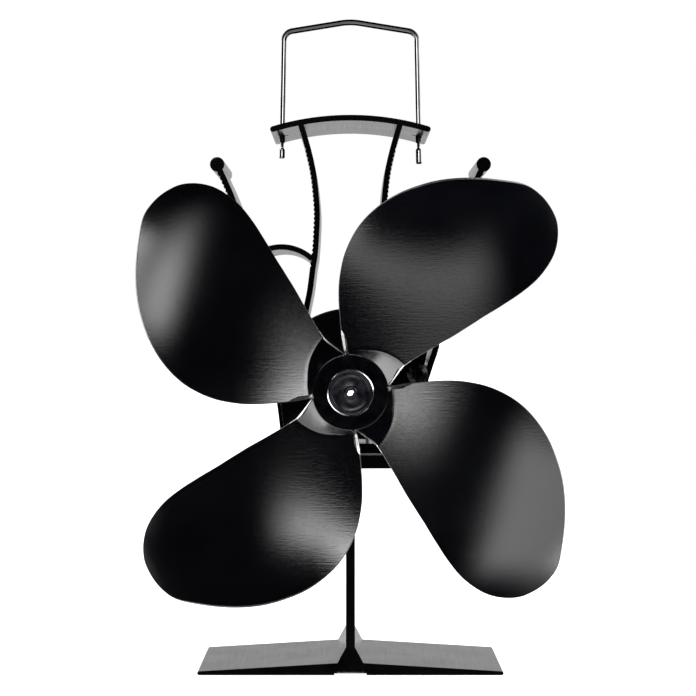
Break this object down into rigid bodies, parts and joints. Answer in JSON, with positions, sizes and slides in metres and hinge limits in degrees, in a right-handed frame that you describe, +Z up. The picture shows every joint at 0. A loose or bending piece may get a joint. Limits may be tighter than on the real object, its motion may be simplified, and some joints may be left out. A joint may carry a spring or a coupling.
{
  "type": "stove fan",
  "caption": "Heat-powered stove fan: black T-shaped foot, finned heat sink with a wire handle that slides in it, and a small motor that spins a pressed blade propeller.",
  "frame": {"origin": "centre of the whole fan's footprint, on the surface that the foot stands on", "axes": "+Z up, +X across to the viewer's right, the propeller faces -Y"},
  "size_m": [0.136, 0.096, 0.219],
  "materials": {
    "black_anodised": "satin black anodised extrusion with fine drawing lines",
    "black_blade": "satin black pressed sheet with fine horizontal grain and bare cut edges",
    "hub_black": "turned, black anodised, bright chamfer",
    "black_paint": "semi-gloss black sheet steel",
    "chrome_wire": "bright drawn wire",
    "bimetal": "thin rolled bimetal",
    "rivet_alu": "plain",
    "graphite": "graphite foil",
    "ceramic": "white alumina",
    "module_alloy": "grey semiconductor alloy",
    "gasket_board": "pale ceramic-fibre board",
    "black_steel": "blackened steel",
    "insulating_bush": "heat-proof moulding",
    "spring_steel": "bright spring steel",
    "zinc_can": "zinc-plated drawn steel",
    "bronze": "sintered bronze",
    "ferrite": "sintered ferrite",
    "cap_plastic": "moulded nylon",
    "contact_brass": "tinned brass strip",
    "lead_black_sleeve": "silicone sleeve",
    "lead_red_sleeve": "silicone sleeve",
    "bright_shaft": "ground steel",
    "lamination_steel": "stacked laminations",
    "enamelled_copper": "enamelled wire",
    "commutator_copper": "copper",
    "white_nylon": "nylon"
  },
  "bodies": {
    "root": {"base": "black_anodised", "bimetal_strip": "bimetal", "bimetal_rivet": "rivet_alu", "hot_side_pad": "graphite", "module_hot_plate": "ceramic", "module_legs": "module_alloy", "module_cold_plate": "ceramic", "cold_side_pad": "graphite", "module_gasket": "gasket_board", "heat_sink": "black_anodised", "clamp_screws": "black_steel", "clamp_bushes": "insulating_bush", "clamp_spring_washers": "spring_steel", "motor_bracket": "black_paint", "bracket_screws": "black_steel", "motor_screws": "black_steel", "motor_can": "zinc_can", "front_bearing": "bronze", "motor_magnets": "ferrite", "motor_end_cap": "cap_plastic", "brush_terminals": "contact_brass", "rear_bearing": "bronze", "lead_black": "lead_black_sleeve", "lead_red": "lead_red_sleeve"},
    "rotor": {"motor_shaft": "bright_shaft", "armature_core": "lamination_steel", "armature_windings": "enamelled_copper", "commutator_sleeve": "cap_plastic", "commutator_segments": "commutator_copper", "thrust_washers": "white_nylon", "propeller_hub": "hub_black", "hub_set_screw": "black_steel", "hub_retaining_ring": "spring_steel", "propeller": "black_blade"},
    "handle": {"handle": "chrome_wire"}
  },
  "joints": [
    {"name": "propeller_spin", "type": "hinge", "parent": "root", "child": "rotor", "pos_m": [0, -0.0405, 0.0935], "axis": [0, 1, 0], "continuous": true},
    {"name": "handle_slide", "type": "slide", "parent": "root", "child": "handle", "axis": [0, 0, 1], "range_m": [-0.0275, 0.0018]}
  ]
}
